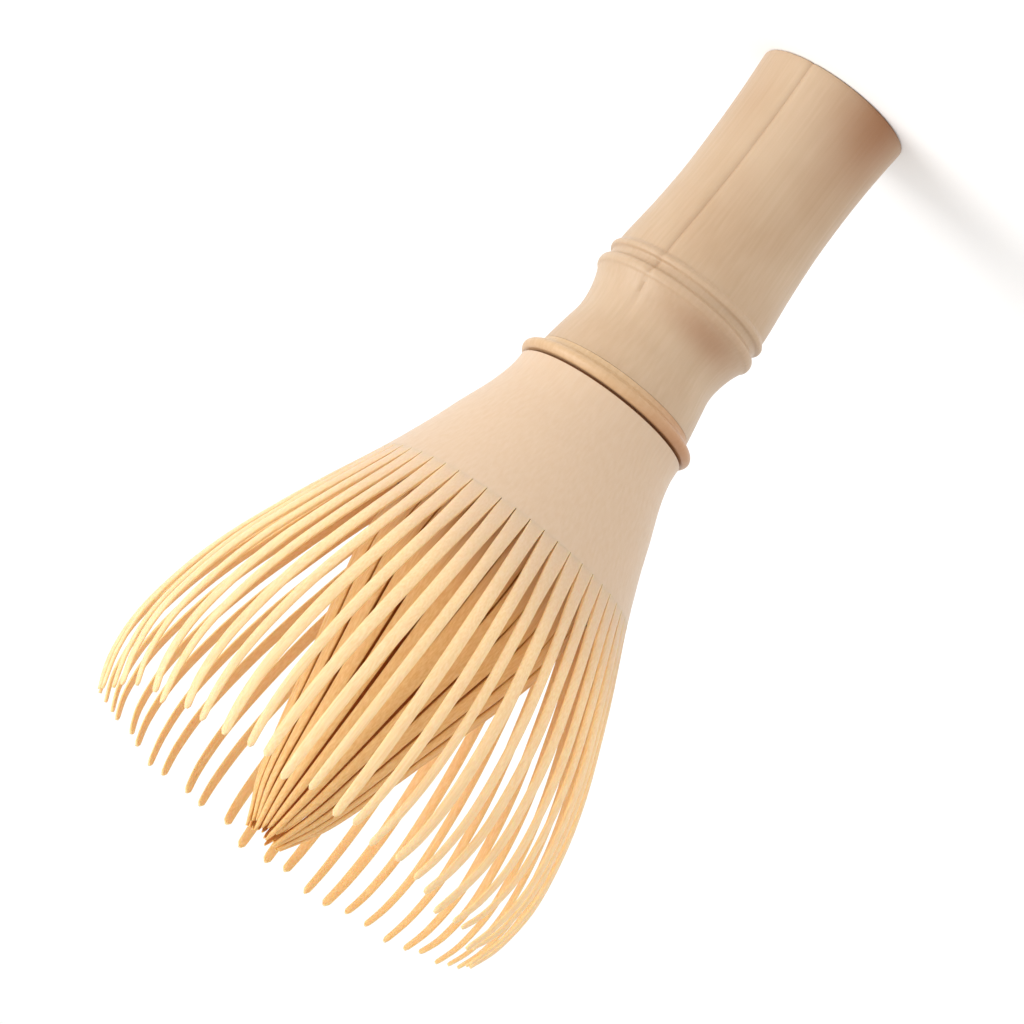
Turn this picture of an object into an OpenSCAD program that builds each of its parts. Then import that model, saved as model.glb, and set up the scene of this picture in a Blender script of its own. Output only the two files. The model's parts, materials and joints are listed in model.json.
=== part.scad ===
// Bamboo tea whisk: a hollow culm handle with one node, a bead collar, and a head of
// outer tines that swell out around a bud of inner tines. It stands on the cut end of
// its handle, with +Z along the axis towards the tines and the origin at that end's centre.

/* [Handle] */
// Length of the culm from its cut end to the seam under the head
handle_len = 48.9; // [47:0.1:51]
// Radius of the culm at its cut end
end_r = 10.4; // [10.2:0.1:10.8]
// Radius of the hollow inside the culm
bore_r = 7.2; // [6.8:0.1:7.6]
// Height of the node above the cut end
node_z = 32.6; // [31:0.1:34]
// Thickness of the wall that closes the hollow at the node
septum_t = 2.4; // [1.5:0.1:3]
// Width of the groove that runs up one side of the culm, in degrees around the axis
groove_deg = 8; // [4:1:12]
// Depth of that groove
groove_t = 0.25; // [0.1:0.05:0.4]
// Direction of the groove around the axis
groove_at = 299; // [0:1:359]

/* [Collar] */
// Height of the bead collar
collar_h = 2.7; // [2.4:0.1:3.2]
// Outer radius of the bead collar
collar_r = 12.6; // [12.3:0.1:13]
// Height of the seam between the collar and the head
seam_h = 0.4; // [0.2:0.05:0.6]
// Depth of that seam
seam_t = 0.9; // [0.5:0.1:1.2]

/* [Head] */
// Height of the plain neck, from the handle up to the roots of the outer tines
neck_h = 20.1; // [19:0.1:22]
// Radius of the neck where it starts
neck_r = 12; // [11.8:0.1:12.2]
// Radius at the roots of the outer tines
root_r = 18.6; // [18.4:0.1:19]
// Thickness of the neck's wall where the tines start
root_t = 0.8; // [0.6:0.05:0.9]
// Length of the outer tines, measured along the axis
outer_len = 46; // [44:0.5:48]
// Widest radius of the head
head_r = 30.4; // [29.5:0.1:31]
// Radius at the tips of the outer tines
outer_tip_r = 28.4; // [27.5:0.1:29.5]
// Radius at the roots of the inner tines
inner_root_r = 13.2; // [13:0.1:13.6]
// Length of the inner tines, measured along the axis
inner_len = 51.5; // [50:0.5:53]
// Radius of the bud that the tips of the inner tines make
inner_tip_r = 3; // [2.9:0.1:4]

/* [Tines] */
// How many pairs the outer tines bend in
outer_pairs = 27; // [25:1:29]
// How many pairs the inner tines bend in
inner_pairs = 13; // [11:1:14]
// Width of the slit between two tines at their roots
slit_w = 0.17; // [0.14:0.01:0.3]

/* [Hidden] */
// Gap between pieces that slide together on the bench.
fit_gap = 0.02;
// Gap at a tine's root, which lets it bend there.
flex_gap = 0.12;
cut_bevel = 0.35;
skin = "#dfc3a2";
flesh = "#f0d5a4";
bead = "#e3bd86";

neck_z = handle_len;
root_z = neck_z + neck_h;
inner_root_z = root_z - 3;
inner_root_t = 0.75;
seat_z = neck_z + 2.4;
inner_floor_z = seat_z + 2;
collar_z = handle_len - collar_h;
seat_r = end_r - 0.1;
outer_step = 180 / outer_pairs;
inner_step = 180 / inner_pairs;
// The inner ring is turned by a quarter of a tine, so its slits don't line up across the bud.
inner_turn = inner_step / 4;
stations = 14;

function two_digits(n) = n < 10 ? str("0", n) : str(n);
function outer_name(n) = str("outer_tines_", two_digits(n));
function inner_name(n) = str("inner_tines_", two_digits(n));

$fn = 96;

// A smooth curve through every point of a list: where it is at u, from 0 to 1.
function held(points, i) = points[max(0, min(len(points) - 1, i))];
function spline(a, b, c, d, t) =
    0.5 * (2 * b + (c - a) * t + (2 * a - 5 * b + 4 * c - d) * t ^ 2 + (3 * b - a - 3 * c + d) * t ^ 3);
function along(points, u) =
    let (x = u * (len(points) - 1), i = min(floor(x), len(points) - 2))
    spline(held(points, i - 1), points[i], points[i + 1], held(points, i + 2), x - i);
function curve(points, steps) = [for (k = [0 : steps]) along(points, k / steps)];
// Unit vector square to the curve at u, pointing away from the axis.
function outward(points, u) =
    let (d = along(points, min(1, u + 0.01)) - along(points, max(0, u - 0.01)))
    [d[1], -d[0]] / norm(d);
// Places a shape given as [share of the way out, share of the way up].
function placed(shape, r0, r1, z0, h) = [for (p = shape) [r0 + p[0] * (r1 - r0), z0 + p[1] * h]];

// Outlines are lists of [radius, height].
culm_line = [
    [end_r, cut_bevel],
    [end_r - 0.35, 6],
    [end_r - 0.5, 12],
    [end_r - 0.45, 18],
    [end_r - 0.1, node_z - 9],
    [end_r + 0.3, node_z - 5],
    [end_r + 0.55, node_z - 2.6],
    [end_r + 0.95, node_z - 1.4],
    [end_r + 0.5, node_z - 0.3],
    [end_r + 1.05, node_z + 1],
    [end_r + 0.75, node_z + 2.3],
    [end_r + 0.2, node_z + 4],
    [end_r - 0.35, node_z + 6],
    [end_r - 0.5, node_z + 7.5],
    [end_r - 0.2, node_z + 9.5],
    [end_r + 0.35, collar_z - 1.2],
    [end_r + 0.5, collar_z]
];
flare = [
    [0, seam_h / neck_h], [0.02, 0.12], [0.09, 0.22], [0.2, 0.33],
    [0.39, 0.49], [0.6, 0.68], [0.82, 0.86], [1, 1]
];
neck_line = placed(flare, neck_r, root_r, neck_z, neck_h);

// Outer faces of the tines, from root to tip.
swell = [[0, 0], [0.3, 0.165], [0.525, 0.3], [0.75, 0.45], [0.91, 0.6], [1, 0.76], [0.955, 0.89]];
outer_line = concat(
    placed(swell, root_r, head_r, root_z + flex_gap, outer_len - flex_gap),
    [[outer_tip_r, root_z + outer_len]]
);
bud = [
    [0, 0], [-0.07, 0.12], [-0.08, 0.25], [0.04, 0.37], [0.2, 0.49],
    [0.36, 0.61], [0.53, 0.74], [0.74, 0.88], [1, 1]
];
inner_line = placed(bud, inner_root_r, inner_tip_r, inner_root_z + flex_gap, inner_len - flex_gap);

// Share of the length, then width or thickness.
outer_root_w = 2 * PI * (root_r - root_t) / (2 * outer_pairs) - slit_w;
outer_widths = [
    [0, outer_root_w], [0.04, 1.85], [0.16, 1.6], [0.46, 1.53],
    [0.85, 1.22], [0.97, 1.05], [1, 0.8]
];
outer_depths = [[0, root_t], [0.3, 0.7], [0.7, 0.55], [1, 0.4]];
inner_root_w = 2 * PI * (inner_root_r - inner_root_t) / (2 * inner_pairs) - slit_w;
inner_widths = [
    [0, inner_root_w], [0.25, inner_root_w], [0.4, 2.5], [0.6, 1.85],
    [0.75, 1.45], [0.86, 1.05], [1, 0.46]
];
inner_depths = [[0, inner_root_t], [0.4, 0.6], [1, 0.4]];

// A strip of bamboo: a four-cornered section carried along a line, at azimuth 0.
module strip(line, widths, depths) {
    corners = [for (k = [0 : stations])
        let (
            u = k / stations,
            face = along(line, u),
            back = face - lookup(u, depths) * outward(line, u),
            half = lookup(u, widths) / 2
        )
        each [
            [face[0], -half, face[1]],
            [face[0], half, face[1]],
            [back[0], half, back[1]],
            [back[0], -half, back[1]]
        ]
    ];
    last = 4 * stations;
    sides = [for (k = [0 : stations - 1]) for (j = [0 : 3])
        let (a = 4 * k + j, b = 4 * k + (j + 1) % 4)
        each [[a, a + 4, b + 4], [a, b + 4, b]]
    ];
    ends = [[0, 1, 2], [0, 2, 3], [last, last + 2, last + 1], [last, last + 3, last + 2]];
    polyhedron(corners, concat(sides, ends), convexity = 4);
}

// Two neighbouring tines, on either side of the middle of pair n.
module outer_tines(n) {
    color(flesh)
        for (k = [-0.5, 0.5])
            rotate([0, 0, (2 * (n - 1) + k) * outer_step]) strip(outer_line, outer_widths, outer_depths);
}

module inner_tines(n) {
    color(flesh)
        for (k = [-0.5, 0.5])
            rotate([0, 0, (2 * (n - 1) + k) * inner_step + inner_turn])
                strip(inner_line, inner_widths, inner_depths);
}

// The culm: its skin line turned round the axis, hollow on both sides of the node.
module handle() {
    skin_line = curve(culm_line, 64);
    color(skin)
        difference() {
            rotate_extrude()
                polygon(concat(
                    [[0, 0], [end_r - cut_bevel, 0]],
                    skin_line,
                    [[seat_r, collar_z], [seat_r, handle_len], [0, handle_len]]
                ));
            translate([0, 0, -1]) cylinder(r = bore_r, h = node_z - septum_t / 2 + 1);
            translate([0, 0, node_z + septum_t / 2]) cylinder(r = bore_r, h = handle_len);
            rotate([0, 0, groove_at - groove_deg / 2]) groove(skin_line);
        }
}

// The groove's cutter: a thin sector whose inner wall follows the skin.
module groove(line) {
    covered = [for (p = line) if (p[1] < node_z + 7) p];
    top = covered[len(covered) - 1][1];
    rotate_extrude(angle = groove_deg)
        polygon(concat(
            [[end_r + 3, -1], [end_r - groove_t, -1]],
            [for (p = covered) p - [groove_t, 0]],
            [[end_r + 3, top]]
        ));
}

// The bead: a fillet against the culm, then a round shoulder up to the seam.
module collar_ring() {
    lip = end_r + 0.6;
    bead_line = [
        [lip, collar_z],
        [lip + 0.25, collar_z + 0.14 * collar_h],
        [collar_r - 0.55, collar_z + 0.26 * collar_h],
        [collar_r - 0.12, collar_z + 0.42 * collar_h],
        [collar_r, collar_z + 0.62 * collar_h],
        [collar_r - 0.12, collar_z + 0.82 * collar_h],
        [collar_r - 0.5, handle_len]
    ];
    color(bead)
        rotate_extrude()
            polygon(concat(
                [[seat_r + fit_gap, collar_z]],
                curve(bead_line, 24),
                [[seat_r + fit_gap, handle_len]]
            ));
}

// The neck under the outer tines: a flared cup with a holed floor, undercut at the seam.
module outer_crown() {
    rim = outward(neck_line, 1) * root_t;
    cup_line = [
        [10, seat_z],
        [11.4, neck_z + 0.4 * neck_h],
        [14.2, neck_z + 0.7 * neck_h],
        [root_r - rim[0], root_z - rim[1]]
    ];
    color(skin)
        rotate_extrude()
            polygon(concat(
                [[neck_r - seam_t, neck_z], [neck_r - seam_t, neck_z + seam_h]],
                curve(neck_line, 28),
                [for (k = [12 : -1 : 0]) along(cup_line, k / 12)],
                [[bore_r, seat_z], [bore_r, neck_z]]
            ));
}

// The smaller cup that carries the inner tines and sits on the outer cup's floor.
module inner_crown() {
    outside = [
        [9.7, seat_z],
        [10.4, seat_z + 3.4],
        [11.7, seat_z + 8.4],
        [inner_root_r, inner_root_z]
    ];
    rim = outward(outside, 1) * inner_root_t;
    inside = [
        [8.7, inner_floor_z],
        [9.5, seat_z + 4.6],
        [10.8, seat_z + 8.8],
        [inner_root_r - rim[0], inner_root_z - rim[1]]
    ];
    color(flesh)
        rotate_extrude()
            polygon(concat(
                curve(outside, 12),
                [for (k = [12 : -1 : 0]) along(inside, k / 12)],
                [[bore_r, inner_floor_z], [bore_r, seat_z]]
            ));
}

// The dowel that pins both cups to the culm, with a domed head.
module core_dowel() {
    shank_r = bore_r - fit_gap;
    foot_z = node_z + septum_t / 2 + 0.3;
    head_edge = 8.3;
    brim_z = inner_floor_z + 0.9;
    dome_h = 1.7;
    color(bead)
        rotate_extrude()
            polygon(concat(
                [[0, foot_z], [shank_r - 0.5, foot_z], [shank_r, foot_z + 0.5]],
                [[shank_r, inner_floor_z], [head_edge, inner_floor_z], [head_edge, brim_z]],
                [for (a = [15 : 15 : 75]) [head_edge * cos(a), brim_z + dome_h * sin(a)]],
                [[0, brim_z + dome_h]]
            ));
}

handle();
collar_ring();
outer_crown();
inner_crown();
core_dowel();
for (n = [1 : outer_pairs])
    outer_tines(n);
for (n = [1 : inner_pairs])
    inner_tines(n);
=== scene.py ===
import json
import math
import random

import bmesh
import bpy
from mathutils import Matrix, Vector


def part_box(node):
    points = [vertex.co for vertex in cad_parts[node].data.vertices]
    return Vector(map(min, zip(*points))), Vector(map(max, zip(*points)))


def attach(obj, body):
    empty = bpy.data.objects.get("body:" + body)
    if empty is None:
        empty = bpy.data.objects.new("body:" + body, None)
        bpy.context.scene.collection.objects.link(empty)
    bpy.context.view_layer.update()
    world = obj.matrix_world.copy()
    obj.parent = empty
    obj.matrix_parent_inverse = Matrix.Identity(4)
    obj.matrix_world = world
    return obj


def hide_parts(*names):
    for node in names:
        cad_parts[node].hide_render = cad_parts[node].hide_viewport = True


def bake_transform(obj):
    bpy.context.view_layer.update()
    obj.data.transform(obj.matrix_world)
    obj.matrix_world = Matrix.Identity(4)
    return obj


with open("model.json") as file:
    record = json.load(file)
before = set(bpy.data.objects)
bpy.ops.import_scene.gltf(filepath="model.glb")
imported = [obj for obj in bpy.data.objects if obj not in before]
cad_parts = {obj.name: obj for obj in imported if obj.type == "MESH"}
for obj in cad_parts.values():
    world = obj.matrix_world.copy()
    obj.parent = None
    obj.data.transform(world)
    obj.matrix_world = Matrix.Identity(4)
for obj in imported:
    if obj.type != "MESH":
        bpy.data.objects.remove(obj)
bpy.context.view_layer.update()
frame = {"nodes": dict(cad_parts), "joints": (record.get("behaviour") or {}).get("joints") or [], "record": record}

MM = 0.001
TAU = 2 * math.pi
rng = random.Random(41)

# Heights and radii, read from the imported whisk.
handle_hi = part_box("handle")[1]
collar_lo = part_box("collar_ring")[0]
crown_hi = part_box("outer_crown")[1]
inner_crown_lo, inner_crown_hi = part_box("inner_crown")
OUTER = sorted(n for n in frame["nodes"] if n.startswith("outer_tines_"))
INNER = sorted(n for n in frame["nodes"] if n.startswith("inner_tines_"))
HINGES = {j["child"]: j for j in frame["joints"]}
BODY_OF = {n: b for b, members in frame["record"]["behaviour"]["bodies"].items() for n in members}

seam_z = handle_hi.z
collar_z = collar_lo.z
root_z = crown_hi.z
root_r = crown_hi.x
inner_root_z = inner_crown_hi.z
tip_z = max(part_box(n)[1].z for n in OUTER)
bud_z = max(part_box(n)[1].z for n in INNER)
head_r = max(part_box(n)[1].x for n in OUTER)

# Sizes that no box gives.
CULM_R = 10.4 * MM
BORE_R = 7.2 * MM
NODE_Z = 32.6 * MM
NECK_R = 12 * MM
INNER_ROOT_R = 13.2 * MM


# ---------------------------------------------------------------- camera, light, floor
def look(camera, eye, target, roll):
    back = (eye - target).normalized()
    turned = back.to_track_quat("Z", "Y").to_matrix().to_4x4() @ Matrix.Rotation(roll, 4, "Z")
    camera.matrix_world = Matrix.Translation(eye) @ turned


def make_camera():
    # Seen from the tine side, a little above level, with the whisk lying across the frame.
    distance = 1.15
    above = math.radians(12.2)
    frame_width = 125.2 * MM
    target = Vector((1.2 * MM, 0, 66 * MM))
    eye = target + distance * Vector((0, -math.cos(above), math.sin(above)))
    data = bpy.data.cameras.new("camera")
    data.sensor_width = 36
    data.lens = data.sensor_width * distance / frame_width
    data.clip_start = 0.01
    data.clip_end = 50
    camera = bpy.data.objects.new("camera", data)
    bpy.context.scene.collection.objects.link(camera)
    look(camera, eye, target, math.radians(217.1))
    bpy.context.scene.camera = camera


def area_light(name, place, size, watts, colour):
    data = bpy.data.lights.new(name, "AREA")
    data.shape = "DISK"
    data.size = size
    data.energy = watts
    data.color = colour
    lamp = bpy.data.objects.new(name, data)
    lamp.location = place
    aim = Vector((0, 0, 0.06)) - Vector(place)
    lamp.rotation_euler = aim.to_track_quat("-Z", "Y").to_euler()
    bpy.context.scene.collection.objects.link(lamp)


def make_light():
    # One large soft box on the groove's side, a weak fill, and an even white room.
    area_light("key_box", (1.25, -0.5, 0.75), 1.5, 17, (1, 0.99, 0.97))
    area_light("fill_box", (-0.7, -1.2, 0.4), 1.2, 1.0, (1, 0.96, 0.92))
    world = bpy.data.worlds.new("white_room")
    world.use_nodes = True
    room = world.node_tree.nodes["Background"]
    room.inputs["Color"].default_value = (1, 1, 1, 1)
    room.inputs["Strength"].default_value = 0.93
    bpy.context.scene.world = world


# ---------------------------------------------------------------- materials
def srgb(code):
    parts = [int(code[i:i + 2], 16) / 255 for i in (1, 3, 5)]
    linear = [c / 12.92 if c <= 0.04045 else ((c + 0.055) / 1.055) ** 2.4 for c in parts]
    return (*linear, 1)


def add(tree, kind, settings=None, links=None):
    """A node, with its attributes or input values set and its inputs linked."""
    node = tree.nodes.new(kind)
    for key, value in (settings or {}).items():
        if isinstance(key, str) and hasattr(node, key):
            setattr(node, key, value)
        else:
            node.inputs[key].default_value = value
    for key, source in (links or {}).items():
        tree.links.new(source, node.inputs[key])
    return node


def finish_of(name, settings):
    material = bpy.data.materials.new(name)
    material.use_nodes = True
    tree = material.node_tree
    shader = tree.nodes["Principled BSDF"]
    for key, value in settings.items():
        shader.inputs[key].default_value = value
    return material, tree, shader


def ramp(tree, factor, stops):
    node = add(tree, "ShaderNodeValToRGB", links={"Fac": factor})
    bar = node.color_ramp.elements
    while len(bar) < len(stops):
        bar.new(0.5)
    for element, (place, code) in zip(bar, stops):
        element.position = place
        element.color = srgb(code) if isinstance(code, str) else (code, code, code, 1)
    return node.outputs["Color"]


def mix(tree, factor, a, b, how="MIX"):
    node = add(tree, "ShaderNodeMix", {"data_type": "RGBA", "blend_type": how})
    for key, value in (("Factor", factor), ("A", a), ("B", b)):
        slot = [i for i in node.inputs if i.name == key and i.enabled][0]
        if hasattr(value, "links"):
            tree.links.new(value, slot)
        else:
            slot.default_value = value
    return [o for o in node.outputs if o.enabled][0]


def fibres(tree, across_mm, along_mm, detail=3):
    """Noise drawn out along the axis, as bamboo's fibre bundles are."""
    place = add(tree, "ShaderNodeTexCoord").outputs["Object"]
    scale = (1 / (across_mm * MM), 1 / (across_mm * MM), 1 / (along_mm * MM))
    moved = add(tree, "ShaderNodeMapping", {"vector_type": "POINT", "Scale": scale}, {"Vector": place})
    settings = {"Scale": 1.0, "Detail": detail}
    return add(tree, "ShaderNodeTexNoise", settings, {"Vector": moved.outputs[0]}).outputs["Fac"]


def blotches(tree, size_mm, seed):
    """Soft patches of a given size, moved by seed."""
    place = add(tree, "ShaderNodeTexCoord").outputs["Object"]
    scale = (1 / (size_mm * MM),) * 3
    shift = {"Scale": scale, "Location": (seed, seed, seed)}
    moved = add(tree, "ShaderNodeMapping", shift, {"Vector": place})
    settings = {"Scale": 1.0, "Detail": 2}
    return add(tree, "ShaderNodeTexNoise", settings, {"Vector": moved.outputs[0]}).outputs["Fac"]


# The scraped skin of the head, shared by the crown and the roots of the tines.
HEAD_DARK = "#C7AB8E"
HEAD_LIGHT = "#CBB196"


def bamboo_skin():
    # Dried bamboo skin, scraped and waxed: satin, pale, with faint long fibres, and a dark tan laid on as painted
    # shade.
    material, tree, shader = finish_of("dried_bamboo_skin", {
        "IOR": 1.5, "Specular IOR Level": 0.45, "Subsurface Weight": 0.12,
        "Subsurface Radius": (0.9 * MM, 0.55 * MM, 0.3 * MM), "Subsurface Scale": 1.0,
    })
    grain = fibres(tree, 0.45, 30)
    cloud = blotches(tree, 14, 3.1)
    painted_shade = add(tree, "ShaderNodeAttribute", {"attribute_name": "painted_shade"}).outputs["Fac"]
    pale = add(tree, "ShaderNodeAttribute", {"attribute_name": "pale"}).outputs["Fac"]
    base = ramp(tree, grain, [(0.3, "#B5997B"), (0.7, "#BFA388")])
    tone = ramp(tree, cloud, [(0.35, "#B19270"), (0.65, "#C4AC8F")])
    culm = mix(tree, 0.45, base, tone)
    neck = ramp(tree, grain, [(0.3, HEAD_DARK), (0.7, HEAD_LIGHT)])
    # Painted shade: the dark tan #8C5426 goes where the piece's painted shade mask asks for it.
    shaded = mix(tree, painted_shade, mix(tree, pale, culm, neck), srgb("#8C5426"))
    tree.links.new(shaded, shader.inputs["Base Color"])
    tree.links.new(ramp(tree, grain, [(0.2, 0.46), (0.8, 0.36)]), shader.inputs["Roughness"])
    bump = add(tree, "ShaderNodeBump", {"Strength": 0.06, "Distance": 0.04 * MM}, {"Height": grain})
    tree.links.new(bump.outputs["Normal"], shader.inputs["Normal"])
    return material


def collar_bamboo():
    # The same skin turned to a bead: a little yellower than the culm, with painted shade in a darker tan on its
    # side away from the key light.
    material, tree, shader = finish_of("turned_bamboo_bead", {"IOR": 1.5, "Specular IOR Level": 0.5})
    grain = fibres(tree, 0.5, 20)
    painted_shade = add(tree, "ShaderNodeAttribute", {"attribute_name": "painted_shade"}).outputs["Fac"]
    turned = ramp(tree, grain, [(0.3, "#C3A37A"), (0.7, "#CCAE88")])
    # Painted shade: the darker tan #A8683A where the bead's shade mask is set.
    tree.links.new(mix(tree, painted_shade, turned, srgb("#A8683A")), shader.inputs["Base Color"])
    tree.links.new(ramp(tree, grain, [(0.2, 0.42), (0.8, 0.32)]), shader.inputs["Roughness"])
    return material


def split_bamboo(name, face_dark, face_light, flesh_dark, flesh_light):
    # Split and shaved bamboo: pale skin outside; the sides and the inner face a deeper amber, partly the flesh's
    # own colour and partly painted shade between the tines.
    material, tree, shader = finish_of(name, {
        "IOR": 1.5, "Specular IOR Level": 0.35, "Subsurface Weight": 0.35,
        "Subsurface Radius": (1.4 * MM, 0.7 * MM, 0.25 * MM), "Subsurface Scale": 1.0,
    })
    grain = fibres(tree, 0.22, 14, 4)
    flesh = add(tree, "ShaderNodeAttribute", {"attribute_name": "flesh"}).outputs["Fac"]
    rise = add(tree, "ShaderNodeAttribute", {"attribute_name": "rise"}).outputs["Fac"]
    root = ramp(tree, grain, [(0.3, HEAD_DARK), (0.7, HEAD_LIGHT)])
    upper = ramp(tree, grain, [(0.3, face_dark), (0.7, face_light)])
    face = mix(tree, rise, root, upper)
    inside = ramp(tree, grain, [(0.3, flesh_dark), (0.7, flesh_light)])
    tree.links.new(mix(tree, flesh, face, inside), shader.inputs["Base Color"])
    tree.links.new(ramp(tree, grain, [(0.2, 0.55), (0.8, 0.44)]), shader.inputs["Roughness"])
    bump = add(tree, "ShaderNodeBump", {"Strength": 0.2, "Distance": 0.03 * MM}, {"Height": grain})
    tree.links.new(bump.outputs["Normal"], shader.inputs["Normal"])
    return material


def dowel_wood():
    # Plain sanded wood, out of sight at the bottom of the head.
    material, tree, shader = finish_of("sanded_dowel_wood", {"IOR": 1.5})
    grain = fibres(tree, 0.6, 12)
    tree.links.new(ramp(tree, grain, [(0.3, "#C08E57"), (0.7, "#D9AE78")]), shader.inputs["Base Color"])
    tree.links.new(ramp(tree, grain, [(0.2, 0.6), (0.8, 0.5)]), shader.inputs["Roughness"])
    return material


def pale_floor():
    # Matt white seamless paper.
    material, tree, shader = finish_of("white_paper", {"Roughness": 0.95, "Specular IOR Level": 0.1})
    speck = blotches(tree, 90, 0.4)
    tree.links.new(ramp(tree, speck, [(0, "#FAFAFA"), (1, "#FFFFFF")]), shader.inputs["Base Color"])
    return material


# ---------------------------------------------------------------- mesh helpers
def smooth_line(points, count):
    """A smooth curve through a list of (radius, height) points."""
    line = []
    last = len(points) - 1
    for k in range(count + 1):
        x = k / count * last
        i = min(int(x), last - 1)
        t = x - i
        a, b, c, d = (Vector(points[max(0, min(last, i + n))]) for n in (-1, 0, 1, 2))
        line.append(0.5 * (2 * b + (c - a) * t + (2 * a - 5 * b + 4 * c - d) * t ** 2
                           + (3 * b - a - 3 * c + d) * t ** 3))
    return line


def table_at(table, u):
    for (u0, v0), (u1, v1) in zip(table, table[1:]):
        if u <= u1:
            return v0 + (v1 - v0) * (u - u0) / (u1 - u0)
    return table[-1][1]


def piece_from(name, verts, faces, material, floats=None):
    mesh = bpy.data.meshes.new(name)
    mesh.from_pydata(verts, [], faces)
    bm = bmesh.new()
    bm.from_mesh(mesh)
    bmesh.ops.recalc_face_normals(bm, faces=bm.faces)
    bm.to_mesh(mesh)
    bm.free()
    mesh.polygons.foreach_set("use_smooth", [True] * len(mesh.polygons))
    mesh.set_sharp_from_angle(angle=math.radians(42))
    for key, values in (floats or {}).items():
        mesh.attributes.new(key, "FLOAT", "POINT").data.foreach_set("value", values)
    mesh.materials.append(material)
    piece = bpy.data.objects.new(name, mesh)
    bpy.context.scene.collection.objects.link(piece)
    return piece


def ring_mesh(line, steps, place, closed):
    """Turns a line of (radius, height) round the axis; place may move each point."""
    verts = []
    for r, z in line:
        for k in range(steps):
            verts.append(place(r, z, TAU * k / steps))
    rows = len(line)
    faces = []
    for i in range(rows if closed else rows - 1):
        for k in range(steps):
            a = i * steps
            b = ((i + 1) % rows) * steps
            n = (k + 1) % steps
            faces.append((a + k, a + n, b + n, b + k))
    return verts, faces


def turned_place(r, z, phi):
    return (r * math.cos(phi), r * math.sin(phi), z)


def near_angle(a, b):
    return (a - b + math.pi) % TAU - math.pi


def bump_of(x, width):
    return math.exp(-(x / width) ** 2)


# ---------------------------------------------------------------- the pieces
GROOVE_AT = math.radians(299)


def culm_place(r, z, phi):
    # The groove's walls sink softly and the node's ridges dip where they cross it.
    away = near_angle(phi, GROOVE_AT)
    fade = 1 - min(1, max(0, (z - 36 * MM) / (5 * MM)))
    depth = 0.25 * MM * bump_of(away, 0.032) * fade
    waver = 0.05 * MM * math.sin(3 * phi + z * 180) + 0.04 * MM * math.sin(2 * phi - z * 90)
    # The collar's seat is turned true, so the culm's waver dies out under it.
    waver *= min(1, max(0, (collar_z - 0.05 * MM - z) / (4 * MM)))
    # Only the skin is grooved and wavers; the hollow and the end face stay true.
    if r > 9.2 * MM:
        r = r - depth + waver
    return turned_place(r, z, phi)


def culm_painted_shade(points):
    """Painted shade: darker tan at the cut end and under the node on the side away from the key light, and a trace
    along the groove.
    """
    values = []
    for x, y, z in points:
        phi = math.atan2(y, x)
        right = bump_of(near_angle(phi, math.radians(230)), 0.6)
        middle = bump_of(near_angle(phi, math.radians(240)), 0.65)
        top = bump_of(z, 9 * MM)
        under = bump_of(z - 36 * MM, 2.2 * MM)
        line = bump_of(near_angle(phi, GROOVE_AT), 0.02) * (1 if z < 34 * MM else 0)
        values.append(min(0.8, 0.8 * right * top + 0.5 * middle * under + 0.12 * line))
    return values


def make_handle(skin):
    steps = 160
    # How far the skin stands off the culm's radius, and at what height, in mm.
    shape = [
        (0, 0.35), (-0.35, 6), (-0.5, 12), (-0.45, 18), (-0.1, 23.6), (0.3, 27.6), (0.48, 29.6),
        (0.52, 30.4), (0.78, 30.8), (0.98, 31.2), (0.86, 31.6), (0.48, 31.9), (0.42, 32.4), (0.55, 32.8),
        (0.98, 33.2), (1.1, 33.7), (0.98, 34.2), (0.6, 34.7), (0.02, 36.2), (-0.42, 38.2), (-0.52, 40.1),
        (-0.2, 42.1), (0.3, 44.9), (0.5, 46.16),
    ]
    skin_line = smooth_line([(CULM_R + a * MM, z * MM) for a, z in shape], 180)
    floor_z = NODE_Z - 1.2 * MM
    upper_z = NODE_Z + 1.2 * MM
    hollow = [
        (0.4 * MM, floor_z + 0.3 * MM), (4 * MM, floor_z + 0.1 * MM), (BORE_R - 0.6 * MM, floor_z - 0.2 * MM),
        (BORE_R, floor_z - 1.1 * MM), (BORE_R, 12 * MM), (BORE_R, 1 * MM), (BORE_R + 0.12 * MM, 0.15 * MM),
    ]
    rim = [
        (BORE_R + 0.35 * MM, 0), (8.6 * MM, 0), (CULM_R - 0.45 * MM, 0), (CULM_R - 0.12 * MM, 0.12 * MM),
    ]
    neck = [
        (CULM_R - 0.1 * MM, collar_z - 0.01 * MM), (CULM_R - 0.1 * MM, seam_z), (BORE_R, seam_z),
        (BORE_R, upper_z), (0.4 * MM, upper_z),
    ]
    line = [Vector(p) for p in hollow + rim] + skin_line + [Vector(p) for p in neck]
    verts, faces = ring_mesh(line, steps, culm_place, False)
    faces.append(tuple(range(steps)))
    last = (len(line) - 1) * steps
    faces.append(tuple(last + k for k in range(steps)))
    # The culm's painted shade rides on its points: darker on the side away from the key light, under the node and
    # along the groove.
    piece = piece_from("culm_handle", verts, faces, skin, {"painted_shade": culm_painted_shade(verts)})
    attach(piece, "whisk_base")
    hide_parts("handle")


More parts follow.
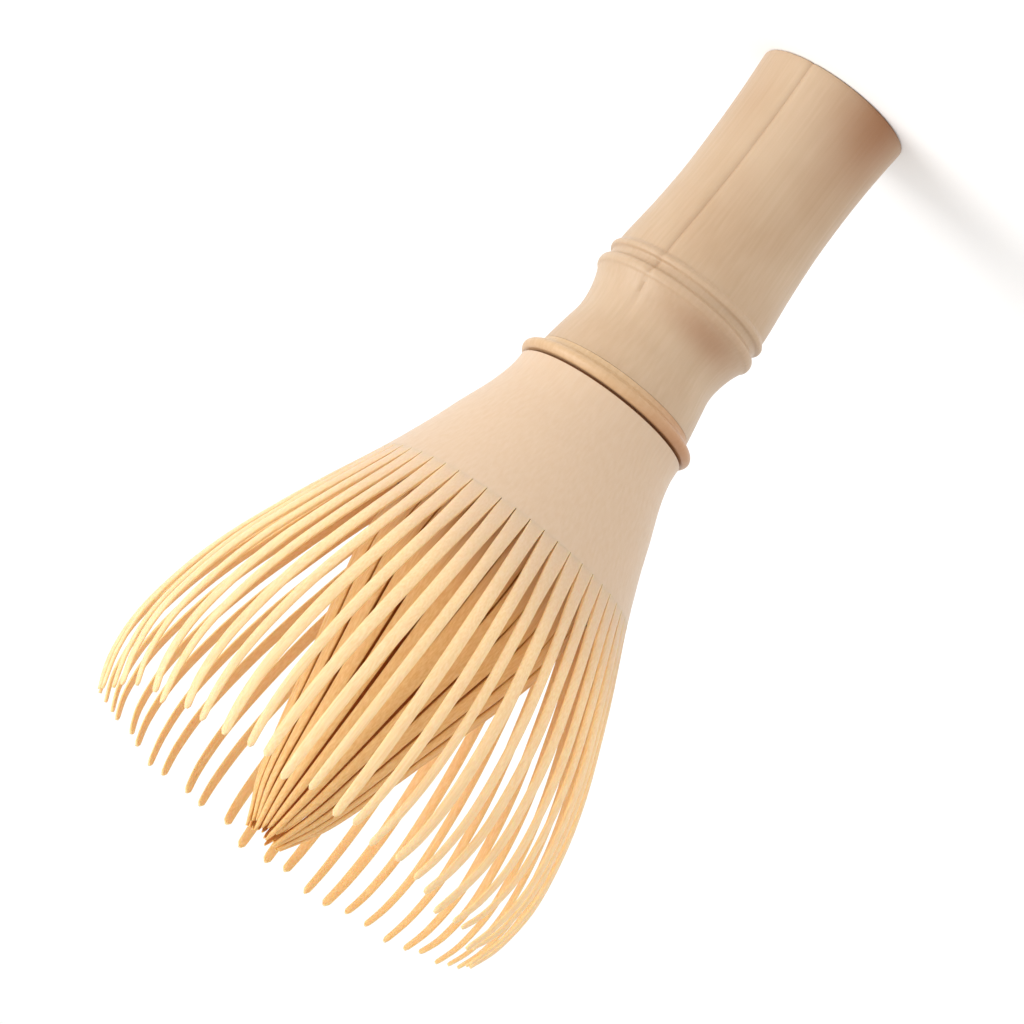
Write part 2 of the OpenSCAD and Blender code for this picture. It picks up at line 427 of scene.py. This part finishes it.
def make_collar(material):
    r0 = 10.32 * MM
    top = seam_z - 0.01 * MM
    h = top - collar_z
    shape = [
        (0.6, 0), (0.64, 0.1), (0.74, 0.2), (0.98, 0.3), (1.55, 0.39), (2.05, 0.5),
        (2.28, 0.66), (2.22, 0.81), (1.95, 0.95), (1.75, 1),
    ]
    outside = smooth_line([(r0 + a * MM, collar_z + b * h) for a, b in shape], 40)
    line = [Vector((r0, collar_z))] + outside + [Vector((r0, top))]
    verts, faces = ring_mesh(line, 144, turned_place, True)
    # Painted shade on the bead: darker on the side away from the key light, and a little darker towards the seam.
    bead_painted_shade = []
    for x, y, z in verts:
        shaded = bump_of(near_angle(math.atan2(y, x), math.radians(212)), 0.75)
        bead_painted_shade.append(0.2 * min(1, max(0, (z - collar_z) / h)) + 0.5 * shaded)
    piece = piece_from("bead_collar", verts, faces, material, {"painted_shade": bead_painted_shade})
    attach(piece, "whisk_base")
    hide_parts("collar_ring")


def make_crown(skin):
    h = root_z - seam_z
    flare = [
        (0, 0.02), (0, 0.05), (0.02, 0.12), (0.09, 0.22), (0.2, 0.33),
        (0.39, 0.49), (0.6, 0.68), (0.82, 0.86), (1, 1),
    ]
    outside = smooth_line([(NECK_R + a * (root_r - NECK_R), seam_z + b * h) for a, b in flare], 60)
    outside.insert(-1, outside[-1].lerp(outside[-2], 0.1))
    wall = 0.8 * MM
    seat_z = inner_crown_lo.z - 0.01 * MM
    inside = [
        (root_r - 0.9 * wall, root_z + 0.1 * MM), (14.2 * MM, seam_z + 0.7 * h),
        (11.4 * MM, seam_z + 0.4 * h), (10 * MM, seat_z),
    ]
    seam_floor_r = NECK_R - 0.9 * MM
    foot = [
        (BORE_R, seat_z), (BORE_R, seam_z + 0.005 * MM),
        (seam_floor_r, seam_z + 0.005 * MM), (seam_floor_r, seam_z + 0.38 * MM),
    ]
    line = outside + smooth_line(inside, 24) + [Vector(p) for p in foot]
    verts, faces = ring_mesh(line, 160, turned_place, True)
    # Painted shade: the seam's recessed floor is painted dark brown, so it shows as a thin brown line.
    dark = []
    for x, y, z in verts:
        in_seam = z < seam_z + 0.43 * MM and math.hypot(x, y) < NECK_R + 0.01 * MM
        dark.append(1.0 if in_seam else 0.0)
    piece = piece_from("flared_crown", verts, faces, skin, {"pale": [1] * len(verts), "painted_shade": dark})
    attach(piece, "whisk_base")
    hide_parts("outer_crown")


def tine_mesh(line, widths, depths, phi, lean, round_tip, sway):
    """One strip of split bamboo, carried along its line: crowned skin, flat flesh, eased corners."""
    stations = 44
    path = smooth_line(line, stations)
    verts, flesh, rise = [], [], []
    section = [
        (-1, -0.45), (-0.7, -0.13), (0, 0), (0.7, -0.13), (1, -0.45),
        (1, -0.8), (0.78, -1), (-0.78, -1), (-1, -0.8),
    ]
    # Where the deeper amber goes: partly the flesh's own colour, partly painted shade on the sides and the inner
    # face.
    split_face_shade_share = [0.35, 0, 0, 0, 0.35, 1, 1, 1, 1]
    for k, p in enumerate(path):
        u = k / stations
        ahead = path[min(stations, k + 1)] - path[max(0, k - 1)]
        out = Vector((ahead.y, -ahead.x)).normalized()
        half = table_at(widths, u) / 2
        depth = table_at(depths, u)
        if u > 1 - round_tip:
            half *= math.sqrt(max(0.2, 1 - ((u - 1 + round_tip) / round_tip) ** 2))
        turn = phi + lean * u * u
        eased = min(1, u / 0.12)
        for side, deep in section:
            if deep > -0.5:
                deep *= eased
            r = p.x + out.x * deep * depth
            z = p.y + out.y * deep * depth
            t = side * half
            x = r * math.cos(turn) - t * math.sin(turn) + sway * u ** 2
            verts.append((x, r * math.sin(turn) + t * math.cos(turn), z))
        flesh.extend(split_face_shade_share)
        rise.extend([min(1, u / 0.28)] * len(section))
    n = len(section)
    faces = [(k * n + i, k * n + (i + 1) % n, (k + 1) * n + (i + 1) % n, (k + 1) * n + i)
             for k in range(stations) for i in range(n)]
    faces.append(tuple(range(n)))
    faces.append(tuple(stations * n + i for i in range(n)))
    return verts, faces, {"flesh": flesh, "rise": rise}


def make_tines(nodes, prefix, shape, place, widths, depths, material,
               lean_by, bow_by, slim_by, split_by, round_tip, sway):
    """Each node holds two tines: one piece each, rooted in the crown and curved along its line to the tip."""
    step = TAU / (2 * len(nodes))
    for i, node in enumerate(nodes):
        body = BODY_OF[node]
        hinge = Vector(HINGES[body]["pos_m"])
        for side, mark in ((-0.5, "a"), (0.5, "b")):
            phi = math.atan2(hinge.y, hinge.x) + side * step
            bow = rng.uniform(-1, 1) * bow_by
            shorter = rng.uniform(0, 1.6) * MM
            slimmer = 1 + rng.uniform(-1, 1) * slim_by
            lean = rng.uniform(-1, 1) * lean_by
            split = rng.uniform(0, 1) * split_by
            line = place(shape, bow, shorter)
            own = [(u, w * (1 + (slimmer - 1) * min(1, 4 * u))) for u, w in widths]
            # Each tine narrows a little early or late, so its slit widens unevenly.
            own = [(u + split if 0 < u < 0.1 else u, w) for u, w in own]
            verts, faces, floats = tine_mesh(line, own, depths, phi, lean, round_tip, sway)
            piece = piece_from(f"{prefix}_{i + 1:02d}{mark}", verts, faces, material, floats)
            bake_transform(piece)
            if mark == "a":
                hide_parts(node)


def outer_place(shape, bow, shorter):
    """The line of one outer tine, swelling from its root and drawing in at the tip."""
    h = tip_z - root_z
    r = [root_r + a * (head_r - root_r) for a, _ in shape]
    points = [(r_k + bow * math.sin(math.pi * b * 0.5), root_z + b * h) for r_k, (_, b) in zip(r, shape)]
    points[-1] = (points[-1][0], points[-1][1] - shorter)
    return points


def inner_place(shape, bow, shorter):
    """The line of one inner tine, closing towards the axis."""
    h = bud_z - inner_root_z
    r0 = INNER_ROOT_R
    r1 = 2.7 * MM
    points = [(r0 + a * (r1 - r0) + bow * math.sin(math.pi * b), inner_root_z + b * h) for a, b in shape]
    points[-1] = (points[-1][0], points[-1][1] - shorter)
    return points


make_camera()
make_light()
# Shows the hex colours below as they are written.
bpy.context.scene.view_settings.view_transform = "Standard"

skin = bamboo_skin()
make_handle(skin)
make_collar(collar_bamboo())
make_crown(skin)

outer_material = split_bamboo("split_bamboo_outer", "#E0BD8C", "#E9CDA0", "#E3B87C", "#EECA94")
# A darker, more orange copy of the split bamboo for the inner tines and the hidden inner crown: painted shade for
# their place inside the ring of outer tines.
inner_shaded_material = split_bamboo("split_bamboo_inner_painted_shade", "#D8A564", "#E6BC82", "#CA8A42", "#DAA05A")
# How far out, or in, a tine has gone at each share of its height.
SWELL = [
    (0, 0), (0.3, 0.165), (0.525, 0.3), (0.75, 0.45), (0.91, 0.6), (1, 0.76), (0.955, 0.89), (0.83, 1),
]
BUD = [
    (0, 0), (-0.07, 0.12), (-0.08, 0.25), (0.04, 0.37), (0.2, 0.49),
    (0.36, 0.61), (0.53, 0.74), (0.74, 0.88), (1, 1),
]
outer_root_w = 2 * (root_r - 0.66 * MM) * math.tan(math.pi / (2 * len(OUTER))) - 0.02 * MM
inner_pitch = TAU * INNER_ROOT_R / (2 * len(INNER))
# Widths and depths of a tine at each share of its height.
outer_widths = [
    (0, outer_root_w), (0.01, outer_root_w - 0.04 * MM), (0.04, 1.85 * MM), (0.16, 1.6 * MM),
    (0.46, 1.53 * MM), (0.85, 1.22 * MM), (0.97, 1.02 * MM), (1, 0.8 * MM),
]
outer_depths = [(0, 0.8 * MM), (0.3, 0.7 * MM), (0.7, 0.55 * MM), (1, 0.4 * MM)]
inner_widths = [
    (0, inner_pitch - 0.2 * MM), (0.25, inner_pitch - 0.1 * MM), (0.4, 2.5 * MM), (0.6, 1.85 * MM),
    (0.75, 1.45 * MM), (0.86, 1.05 * MM), (1, 0.5 * MM),
]
inner_depths = [(0, 0.75 * MM), (0.4, 0.6 * MM), (1, 0.4 * MM)]
make_tines(OUTER, "outer_tine", SWELL, outer_place, outer_widths, outer_depths, outer_material,
           lean_by=0.022, bow_by=0.25 * MM, slim_by=0.15, split_by=0.05,
           round_tip=0.022, sway=0)
make_tines(INNER, "inner_tine", BUD, inner_place, inner_widths, inner_depths, inner_shaded_material,
           lean_by=0.008, bow_by=0.1 * MM, slim_by=0.03, split_by=0,
           round_tip=0.03, sway=1.5 * MM)

# Two pieces hidden inside the neck keep the CAD's own shape.
for name, finish in (("inner_crown", inner_shaded_material), ("core_dowel", dowel_wood())):
    node = frame["nodes"][name]
    node.data.materials.clear()
    node.data.materials.append(finish)

bpy.ops.mesh.primitive_plane_add(size=12, location=(0, 0, 0))
floor = bpy.context.object
floor.name = "floor"
floor.data.materials.append(pale_floor())
